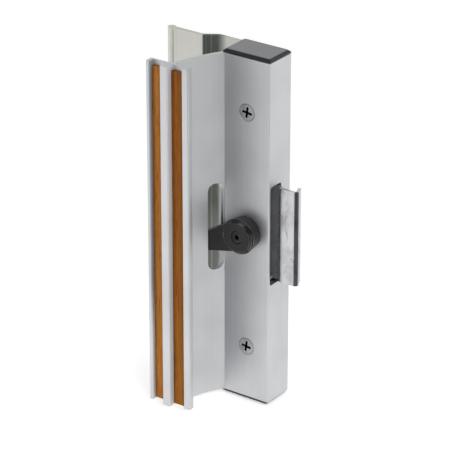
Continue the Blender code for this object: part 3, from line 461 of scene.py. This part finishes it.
def make_plastic(name, colour, worn, roughness, grain_mm, specular=0.5):
    """Moulded plastic with a fine eroded grain."""
    settings = {"Roughness": roughness, "IOR": 1.5, "Specular IOR Level": specular}
    material, tree = new_material(name, settings)
    patches = add(tree, "ShaderNodeTexNoise", {"Scale": per_mm(HANDLED_PATCH_MM), "Detail": 3.0},
                  {"Vector": object_place(tree)})
    drive(tree, "Base Color", ramp(tree, patches.outputs["Fac"], [(0.35, colour), (0.7, worn)]))
    spread = add(tree, "ShaderNodeMapRange", {"To Min": roughness - 0.08, "To Max": roughness + 0.08},
                 {"Value": patches.outputs["Fac"]})
    drive(tree, "Roughness", spread.outputs["Result"])
    grain = add(tree, "ShaderNodeTexNoise", {"Scale": per_mm(grain_mm), "Detail": 2.0},
                {"Vector": object_place(tree)})
    bump = add(tree, "ShaderNodeBump", {"Strength": 0.2, "Distance": GRAIN_DEPTH},
               {"Height": grain.outputs["Fac"]})
    drive(tree, "Normal", bump.outputs["Normal"])
    print("made", name)
    return material


black_plastic = make_plastic("black_nylon_moulded", "#2a292a", "#323132", 0.4, 0.3, NYLON_SPECULAR)
cap_plastic = make_plastic("black_abs_moulded", "#646568", "#6e6f72", 0.32, 0.3)
pale_nylon = make_plastic("natural_nylon_moulded", "#d9d6c8", "#cfcbbb", 0.5, 0.4)

# %% [markdown]
# The cap's flat top keeps a lighter grey and its bevel is painted deep black: painted light and shade.

# %% Paint the caps' tops lighter than their bevels
CAP_FACE = 92.4 * MM
CAP_BLEND = 0.12 * MM
cap_tree = cap_plastic.node_tree
cap_at = axes_of(cap_tree)
cap_face = between(cap_tree, distance_to(cap_tree, cap_at["Z"], 0.0), CAP_FACE - CAP_BLEND, CAP_FACE)
# Painted light and shade: all of the cap below its top face is darkened.
tint(cap_tree, cap_face, [(0.1, "#444445"), (0.9, "#ffffff")])
print("caps bleached beyond", round((CAP_FACE - CAP_BLEND) / MM, 2), "mm")

# %% [markdown]
# The edges of the hub's steps carry thin pale lines on its face, painted highlights, and the hub's right side
# is painted deeper black, a painted shade. A noise breaks the highlight lines up.

# %% Paint highlights on the hub's edges and shade on its side
HUB_SHADE_FROM = lever_axis.x - 7.0 * MM
HUB_SHADE_FULL = lever_axis.x + 6.0 * MM
HUB_EDGES = (7.7 * MM, 8.45 * MM, 9.2 * MM)
HUB_FACE = lever_axis.y - 6.0 * MM
HIGHLIGHT_BREAK_MM = 4.0
HIGHLIGHT_EDGE = 0.28 * MM
HIGHLIGHT_CORE = 0.08 * MM
lever_tree = black_plastic.node_tree
lever_at = axes_of(lever_tree)
hub_side_shade = between(lever_tree, lever_at["X"], HUB_SHADE_FROM, HUB_SHADE_FULL)
# Painted shade: the hub's right side is darkened.
tint(lever_tree, hub_side_shade, [(0.0, "#ffffff"), (1.0, "#8c8c8c")])
hub_away, hub_depth = ring_place(lever_tree, lever_axis)
highlight_breaks = add(lever_tree, "ShaderNodeTexNoise", {"Scale": per_mm(HIGHLIGHT_BREAK_MM), "Detail": 3.0},
              {"Vector": object_place(lever_tree)})
rubbed = combine(
    lever_tree, "MULTIPLY",
    between(lever_tree, highlight_breaks.outputs["Fac"], 0.45, 0.7),
    between(lever_tree, hub_depth, HUB_FACE, HUB_FACE - 0.2 * MM),
)
for edge in HUB_EDGES:
    line = between(lever_tree, distance_to(lever_tree, hub_away, edge), HIGHLIGHT_EDGE, HIGHLIGHT_CORE)
    # Painted highlight: pale lines along the edges of the hub's steps.
    repaint(lever_tree, combine(lever_tree, "MULTIPLY", line, rubbed), "#6a696b")
print("rubbed", len(HUB_EDGES), "edges of the hub")

# %% [markdown]
# ## Plated, blackened and cast metal
# The hook is pressed from sheet and zinc-plated bright: a blue-white metal with cloudy patches and a few
# handling scuffs. The rivet's head is blackened, and the cam is plain die-cast zinc, duller and grainier.

# %% Plated and cast metals
SCUFF_MM = 1.6
SCUFF_STRETCH = (0.3, 0.3, 1.6)
SCUFF_DEPTH = 0.04 * MM


def make_plated(name, colour, dark, roughness, cloud_mm, metallic=1.0):
    """Metal with cloudy patches and thin scuffs across them."""
    material, tree = new_material(name, {"Metallic": metallic, "Roughness": roughness})
    clouds = add(tree, "ShaderNodeTexNoise", {"Scale": per_mm(cloud_mm), "Detail": 4.0, "Roughness": 0.6},
                 {"Vector": object_place(tree, (1.0, 1.0, 0.6))})
    drive(tree, "Base Color", ramp(tree, clouds.outputs["Fac"], [(0.35, dark), (0.6, colour)]))
    spread = add(tree, "ShaderNodeMapRange", {"To Min": roughness + 0.06, "To Max": roughness - 0.05},
                 {"Value": clouds.outputs["Fac"]})
    drive(tree, "Roughness", spread.outputs["Result"])
    scuffs = add(tree, "ShaderNodeTexNoise", {"Scale": per_mm(SCUFF_MM), "Detail": 3.0},
                 {"Vector": object_place(tree, SCUFF_STRETCH)})
    bump = add(tree, "ShaderNodeBump", {"Strength": 0.12, "Distance": SCUFF_DEPTH},
               {"Height": scuffs.outputs["Fac"]})
    drive(tree, "Normal", bump.outputs["Normal"])
    print("made", name)
    return material


zinc_plate = make_plated("zinc_plated_steel_pressed", "#c3c4c6", "#adaeb1", 0.26, 5.0)
screw_plate = make_plated("zinc_plated_steel_headed", "#d2d3d5", "#babbbe", 0.3, 2.5)
nut_plate = make_plated("zinc_plated_steel_turned", "#cdcecf", "#b6b7ba", 0.32, 2.0)
# Painted light: the bracket's blackened steel is given a lighter grey, for light inside the housing.
black_steel_painted_lighter = make_plated("blackened_steel_pressed_painted_lighter", "#858487", "#6c6b6e", 0.4, 2.0, 0.3)
rivet_steel = make_plated("blackened_steel_riveted", "#39383a", "#2b2a2c", 0.38, 2.0, 0.7)
cast_zinc = make_plated("zinc_die_cast", "#a9a9ab", "#97979a", 0.5, 1.5)

# %% [markdown]
# Where the sheet is bent over to form the hook, the outer side of the bend is painted dark, a painted
# reflection of the dark room, and its tail inside the housing is painted darker, a painted shade, and made
# hardly metallic.
# The flat face and the lip stay bright.

# %% Paint the hook's bend and tail dark
BEND_WIDTH = 1.65 * MM
BEND_BLEND = 0.25 * MM
BEND_END = -10.8 * MM
DEPTH_BLEND = 0.15 * MM
TAIL_END = 4.2 * MM
TAIL_BLEND = 0.4 * MM
TAIL_SHADE_TINT = 0.62
TAIL_METALLIC = 0.1
hook_tree = zinc_plate.node_tree
hook_at = axes_of(hook_tree)
bend_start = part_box("clamp_plate")[1].x - BEND_WIDTH
across = between(hook_tree, hook_at["X"], bend_start, bend_start + BEND_BLEND)
depth = between(hook_tree, hook_at["Y"], BEND_END + DEPTH_BLEND, BEND_END - DEPTH_BLEND)
inner = between(hook_tree, hook_at["X"], TAIL_END + TAIL_BLEND, TAIL_END - TAIL_BLEND)
shaded = add(hook_tree, "ShaderNodeMath", {"operation": "MULTIPLY", 1: TAIL_SHADE_TINT}, {0: inner})
bend = add(hook_tree, "ShaderNodeMath", {"operation": "MULTIPLY_ADD"},
           {0: across, 1: depth, 2: shaded.outputs["Value"]})
# Painted reflection on the bend and painted shade on the tail.
tint(hook_tree, bend.outputs["Value"], [(0.0, "#ffffff"), (0.9, "#6c6b6f")])
tail_metal_mix = add(hook_tree, "ShaderNodeMapRange", {"To Min": 1.0, "To Max": TAIL_METALLIC}, {"Value": inner})
drive(hook_tree, "Metallic", tail_metal_mix.outputs["Result"])
print("bend dark from", round(bend_start / MM, 2), "mm, tail greased up to", round(TAIL_END / MM, 2), "mm")

# %% [markdown]
# The hook's face has been knocked and dragged along the keeper. A slow noise crosses its middle value along
# thin lines, so a narrow band round that value draws scratches, and a second noise leaves them in a few
# places only. The greased tail has none.

# %% Scratch the hook
SCRATCH_BAND = 0.012
DRAG_MM = 5.0
DRAG_STRETCH = (1.0, 1.0, 0.35)
DRAG_SHIFT = (0.0, 0.0, 13.0 * MM)
SCRATCH_PLACES_MM = 9.0
drag = add(hook_tree, "ShaderNodeTexNoise", {"Scale": per_mm(DRAG_MM), "Detail": 1.5},
           {"Vector": object_place(hook_tree, DRAG_STRETCH, DRAG_SHIFT)})
places = add(hook_tree, "ShaderNodeTexNoise", {"Scale": per_mm(SCRATCH_PLACES_MM), "Detail": 1.0},
             {"Vector": object_place(hook_tree)})
drag_off = distance_to(hook_tree, drag.outputs["Fac"], 0.5)
scratch = combine(
    hook_tree, "MULTIPLY",
    between(hook_tree, drag_off, SCRATCH_BAND, SCRATCH_BAND / 3),
    between(hook_tree, places.outputs["Fac"], 0.45, 0.6),
    between(hook_tree, hook_at["X"], TAIL_END, TAIL_END + 0.6 * MM),
)
tint(hook_tree, scratch, [(0.0, "#ffffff"), (1.0, "#a5a6aa")])
print("scratches on the hook from", round(TAIL_END / MM, 2), "mm outwards")

# %% [markdown]
# A cross recess is punched deep, and its floor is painted near black, a painted shade. A thin dark line is
# painted where the screw's head meets its countersink, a painted shadow.

# %% Darken the screws' recess and rim
RECESS_EDGE = 3.15 * MM
RECESS_TOP = screw_low.y + 0.12 * MM
RECESS_FLOOR = screw_low.y + 2.3 * MM
RECESS_BLEND = 0.05 * MM
RIM_START = 4.05 * MM
RIM_WIDTH = 0.3 * MM
screw_tree = screw_plate.node_tree
screw_away, screw_depth = ring_place(screw_tree, screw_axis)
recess = combine(
    screw_tree, "MULTIPLY",
    between(screw_tree, screw_away, RECESS_EDGE, RECESS_EDGE - RECESS_BLEND),
    between(screw_tree, screw_depth, RECESS_TOP, RECESS_TOP + 0.1 * MM),
    between(screw_tree, screw_depth, RECESS_FLOOR, RECESS_FLOOR - RECESS_BLEND),
)
rim = between(screw_tree, screw_away, RIM_START, RIM_START + RIM_WIDTH)
painted_shade = add(screw_tree, "ShaderNodeMath", {"operation": "MULTIPLY_ADD", 1: 0.5}, {0: rim, 2: recess})
# Painted shade in the recess and a painted shadow at the rim.
tint(screw_tree, painted_shade.outputs["Value"], [(0.0, "#ffffff"), (0.5, "#8a8586"), (0.95, "#2c2325")])
print("recess dark within", round(RECESS_EDGE / MM, 2), "mm of the screw's axis")

# %% [markdown]
# ## Modelling helpers
# An operator acts on everything selected, and the frame's nodes come in selected, so each step starts with
# nothing selected. A loaded node is a soup of loose triangles. A copy of it is merged into one skin and its
# flat faces are joined, so that its edges can be rounded as a real edge is: a broken or tumbled corner
# catches a thin line of light. Weighted normals then keep the flat faces flat beside the rounding.


# %% Modelling helpers
def pick(piece):
    """Make this the only selected object."""
    bpy.ops.object.select_all(action="DESELECT")
    piece.select_set(True)
    bpy.context.view_layer.objects.active = piece


def apply_modifier(piece, kind, settings):
    """Add a modifier and apply it."""
    pick(piece)
    modifier = piece.modifiers.new(kind.title(), kind)
    for name, value in settings.items():
        setattr(modifier, name, value)
    bpy.ops.object.modifier_apply(modifier=modifier.name)


def merged_copy(node, name):
    """A copy of a frame node, merged into one skin with its flat faces joined."""
    pick(nodes[node])
    bpy.ops.object.duplicate()
    piece = bpy.context.view_layer.objects.active
    piece.name = name
    piece.parent = None
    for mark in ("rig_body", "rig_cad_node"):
        del piece[mark]
    piece.data.materials.clear()
    if piece.data.has_custom_normals:
        bpy.ops.mesh.customdata_custom_splitnormals_clear()
    bpy.ops.object.mode_set(mode="EDIT")
    bpy.ops.mesh.select_all(action="SELECT")
    bpy.ops.mesh.remove_doubles(threshold=0.000004)
    bpy.ops.mesh.dissolve_limited(angle_limit=math.radians(0.4), use_dissolve_boundaries=False)
    bpy.ops.object.mode_set(mode="OBJECT")
    return piece


def select_points(piece, wanted):
    """Go into edit mode with only the points selected whose place passes the test."""
    pick(piece)
    bpy.ops.object.mode_set(mode="EDIT")
    bpy.ops.mesh.select_mode(type="VERT")
    bpy.ops.mesh.select_all(action="DESELECT")
    bpy.ops.object.mode_set(mode="OBJECT")
    for vertex in piece.data.vertices:
        vertex.select = wanted(vertex.co)
    print(piece.name, "has", sum(vertex.select for vertex in piece.data.vertices), "points selected")
    bpy.ops.object.mode_set(mode="EDIT")


def soften(piece, width_mm, segments=3, angle=32.0):
    """Round the sharp edges, shade the piece smooth and keep its flat faces flat."""
    apply_modifier(piece, "BEVEL", {
        "width": width_mm * MM, "segments": segments, "limit_method": "ANGLE",
        "angle_limit": math.radians(angle), "miter_outer": "MITER_ARC", "use_clamp_overlap": True,
        "harden_normals": False,
    })
    pick(piece)
    bpy.ops.object.shade_smooth_by_angle(angle=math.radians(40.0))
    apply_modifier(piece, "WEIGHTED_NORMAL", {"keep_sharp": True, "weight": 80})


def settle(piece, material, body, slot, *stands_for):
    """Give a finished piece its material and its body, and hide the nodes it stands for; the slot is not
    used.
    """
    piece.data.materials.clear()
    piece.data.materials.append(material)
    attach(piece, body)
    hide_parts(*stands_for)
    print(piece.name, len(piece.data.polygons), "faces")
    return piece


# %% [markdown]
# ## The interior extrusion
# It is one bar pushed through a die, then cut to length, with the slot, the window and the holes machined in.
# The frame has its true section, so a copy is merged and its edges are rounded by a few tenths of a
# millimetre, as the die's corners and the deburring leave them.

# %% Interior extrusion
interior = merged_copy("pull_body", "interior_extrusion")
soften(interior, 0.18, 2)
settle(interior, satin_aluminium, BODY, "satin_aluminium", "pull_body")

# %% [markdown]
# ## The outer extrusion
# The weather-side half is the same alloy with a slightly warmer finish.

# %% Outer extrusion
outer = merged_copy("outer_pull", "outer_extrusion")
soften(outer, 0.2, 2)
settle(outer, outer_aluminium, BODY, "outer_aluminium", "outer_pull")

# %% [markdown]
# ## Wood strips
# Each strip is planed, and its long corners are eased.

# %% Wood strips
for side in ("left", "right"):
    strip = merged_copy(f"wood_strip_{side}", f"wood_inlay_{side}")
    soften(strip, 0.3, 3)
    settle(strip, wood_of[side], BODY, "wood_grain", f"wood_strip_{side}")

# %% [markdown]
# ## End caps, lever and rivet
# These are moulded or turned, with small radii where the tool has them.

# %% Caps, lever and rivet
for end in ("top", "bottom"):
    cap = merged_copy(f"{end}_cap", f"end_cap_{end}")
    soften(cap, 0.2, 3)
    settle(cap, cap_plastic, BODY, "black_plastic", f"{end}_cap")

lever = merged_copy("latch_lever", "thumb_lever")
soften(lever, 0.3, 3)
settle(lever, black_plastic, LEVER, "black_plastic", "latch_lever")

rivet = merged_copy("lever_rivet", "hub_rivet")
soften(rivet, 0.1, 2)
settle(rivet, rivet_steel, LEVER, "blackened_steel", "lever_rivet")

# %% [markdown]
# ## The hook
# The hook is a folded sheet of zinc-plated steel. Its sheared edges are tumbled before plating.

# %% Hook
hook = merged_copy("clamp_plate", "hook_plate")
soften(hook, 0.22, 3)
settle(hook, zinc_plate, HOOK, "zinc_plated_steel", "clamp_plate")

# %% [markdown]
# ## Screws
# Nobody stops a screw at a set angle. Both crosses stand nearly upright here, so each copy is turned about
# its own axis in edit mode. A driver has worn the crosses a little wider, so the recess alone is picked by
# its cone of points, which narrows with the depth, and widened.

# %% Screws
CROSS_TURN = math.radians(37.0)
CROSS_WEAR = 1.16
CONE_RADIUS = 2.7 * MM
CONE_SLOPE = 0.6
for end in ("top", "bottom"):
    screw = merged_copy(f"mounting_screw_{end}", f"machine_screw_{end}")
    head_low, head_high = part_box(f"mounting_screw_{end}")
    bpy.ops.object.mode_set(mode="EDIT")
    bpy.ops.mesh.select_all(action="SELECT")
    axis = (head_low + head_high) / 2
    bpy.ops.transform.rotate(value=CROSS_TURN, orient_axis="Y", center_override=axis)
    bpy.ops.object.mode_set(mode="OBJECT")
    select_points(screw, lambda place: math.hypot(place.x - axis.x, place.z - axis.z)
                  < CONE_RADIUS - CONE_SLOPE * (place.y - head_low.y))
    bpy.ops.transform.resize(value=(CROSS_WEAR, 1.0, CROSS_WEAR), center_override=axis)
    bpy.ops.object.mode_set(mode="OBJECT")
    soften(screw, 0.12, 2)
    settle(screw, screw_plate, BODY, "zinc_plated_steel", f"mounting_screw_{end}")

# %% [markdown]
# ## Pieces inside
# The cam, washers, bracket, pin, clip, spacers and nuts keep the frame's own shapes and get their finishes.

# %% Finish the inner nodes
inner_finishes = {
    "latch_cam": cast_zinc,
    "friction_washer": zinc_plate,
    "rivet_washer": zinc_plate,
    "latch_bracket": black_steel_painted_lighter,
    "hinge_pin": zinc_plate,
    "hinge_pin_clip": zinc_plate,
    "screw_spacer_top": pale_nylon,
    "screw_spacer_bottom": pale_nylon,
    "outer_nut_top": nut_plate,
    "outer_nut_bottom": nut_plate,
}
for node, finish in inner_finishes.items():
    nodes[node].data.materials.clear()
    nodes[node].data.materials.append(finish)
print("finished", len(inner_finishes), "inner nodes")

# %% [markdown]
# ## Floor, light and camera
# The photograph is a studio shot on white. The floor is pale paper that glows a little by itself, so it comes
# out white, and most in front on the left, which lights the metal's lower faces from there.

# %% Floor
FLOOR_SIZE = 12.0
PAPER_GRAIN_MM = 2.0
GLOW_CENTRE = (-0.09, -0.14, 0.0)
GLOW_REACH = 0.30
GLOW_CORE = 0.08
GLOW_OUTSIDE = 0.3
GLOW_INSIDE = 0.48
bpy.ops.object.select_all(action="DESELECT")
bpy.ops.mesh.primitive_plane_add(size=FLOOR_SIZE, location=(0.0, 0.0, cad_box[0][2]))
floor = bpy.context.view_layer.objects.active
floor.name = "studio_floor"
floor_material, floor_tree = new_material("studio_paper_matt", {
    "Roughness": 0.9, "Emission Color": (1.0, 1.0, 1.0, 1.0)})
paper = add(floor_tree, "ShaderNodeTexNoise", {"Scale": per_mm(PAPER_GRAIN_MM)},
            {"Vector": object_place(floor_tree)})
drive(floor_tree, "Base Color", ramp(floor_tree, paper.outputs["Fac"], [(0.3, "#f8f8f8"), (0.7, "#fafafa")]))
glow_away = add(floor_tree, "ShaderNodeVectorMath", {"operation": "DISTANCE", 1: GLOW_CENTRE},
                {0: object_place(floor_tree)})
glow_range = {"From Min": GLOW_REACH, "From Max": GLOW_CORE, "To Min": GLOW_OUTSIDE, "To Max": GLOW_INSIDE}
glow = add(floor_tree, "ShaderNodeMapRange", glow_range, {"Value": glow_away.outputs["Value"]})
drive(floor_tree, "Emission Strength", glow.outputs["Result"])
floor.data.materials.append(floor_material)
print("floor at", round(floor.location.z / MM, 1), "mm")

# %% [markdown]
# The photographer's side of the table is dark. The rounded bend of the hook and the web's foot mirror it, so
# a grey card stands low on the right. Only shiny surfaces see it.

# %% Grey card
CARD_PLACE = (0.290, -0.235, 0.03)
CARD_SIZE = (0.26, 0.36)
CARD_TILT = -38.0
CARD_TURN = 35.49
bpy.ops.object.select_all(action="DESELECT")
bpy.ops.mesh.primitive_plane_add(size=1.0, location=CARD_PLACE)
card = bpy.context.view_layer.objects.active
card.name = "grey_card"
card.scale = (*CARD_SIZE, 1.0)
card.rotation_euler = (math.radians(CARD_TILT), 0.0, math.radians(CARD_TURN))
card_material, card_tree = new_material("studio_card_grey", {
    "Base Color": linear("#808080"), "Roughness": 0.9})
card.data.materials.append(card_material)
card.visible_camera = False
card.visible_diffuse = False
card.visible_shadow = False
card.visible_transmission = False
print("card of", CARD_SIZE, "m")

# %% [markdown]
# The surround is an even white up to half height and darker overhead, which gives the satin metal its soft
# grey. One wide lamp from the upper right gives the edges their light lines.

# %% Surround and key lamp
SKY_SHADES = [(0.0, 1.0), (0.5, 1.0), (0.75, 0.45), (1.0, 0.4)]
LAMP_PLACE = Vector((0.9, -0.5, 1.3))
LAMP_SIZE = 0.9
LAMP_POWER = 6.0
world = bpy.data.worlds.new("studio_surround")
bpy.context.scene.world = world
world.use_nodes = True
sky = world.node_tree
direction = add(sky, "ShaderNodeTexCoord")
sky_parts = add(sky, "ShaderNodeSeparateXYZ", links={0: direction.outputs["Generated"]})
sky.links.new(ramp(sky, sky_parts.outputs["Z"], SKY_SHADES), sky.nodes["Background"].inputs["Color"])
sky.nodes["Background"].inputs["Strength"].default_value = 1.0
key_light = bpy.data.lights.new("key_lamp", "AREA")
key_light.size = LAMP_SIZE
key_light.energy = LAMP_POWER
key_lamp = bpy.data.objects.new("key_lamp", key_light)
key_lamp.location = LAMP_PLACE
key_lamp.rotation_euler = LAMP_PLACE.to_track_quat("Z", "Y").to_euler()
bpy.context.scene.collection.objects.link(key_lamp)
print("lamp of", LAMP_POWER, "W at", tuple(round(value, 2) for value in LAMP_PLACE), "m")

# %% [markdown]
# The camera has the photograph's place and turn, found by fitting the object's edges to it. The lens is long,
# and the view transform is the plain one, so a colour comes out as it was picked.

# %% Camera
CAMERA_PLACE = (0.6857, -1.0131, 0.5700)
CAMERA_TILT = 65.0
CAMERA_TURN = 35.49
CAMERA_LENS = 220.6
camera_data = bpy.data.cameras.new("photo_camera")
camera_data.lens = CAMERA_LENS
camera_data.sensor_width = 36.0
camera = bpy.data.objects.new("photo_camera", camera_data)
camera.location = CAMERA_PLACE
camera.rotation_euler = (math.radians(CAMERA_TILT), 0.0, math.radians(CAMERA_TURN))
bpy.context.scene.collection.objects.link(camera)
bpy.context.scene.camera = camera
bpy.context.scene.view_settings.view_transform = "Standard"
print("camera at", CAMERA_PLACE, "m with a lens of", CAMERA_LENS, "mm")
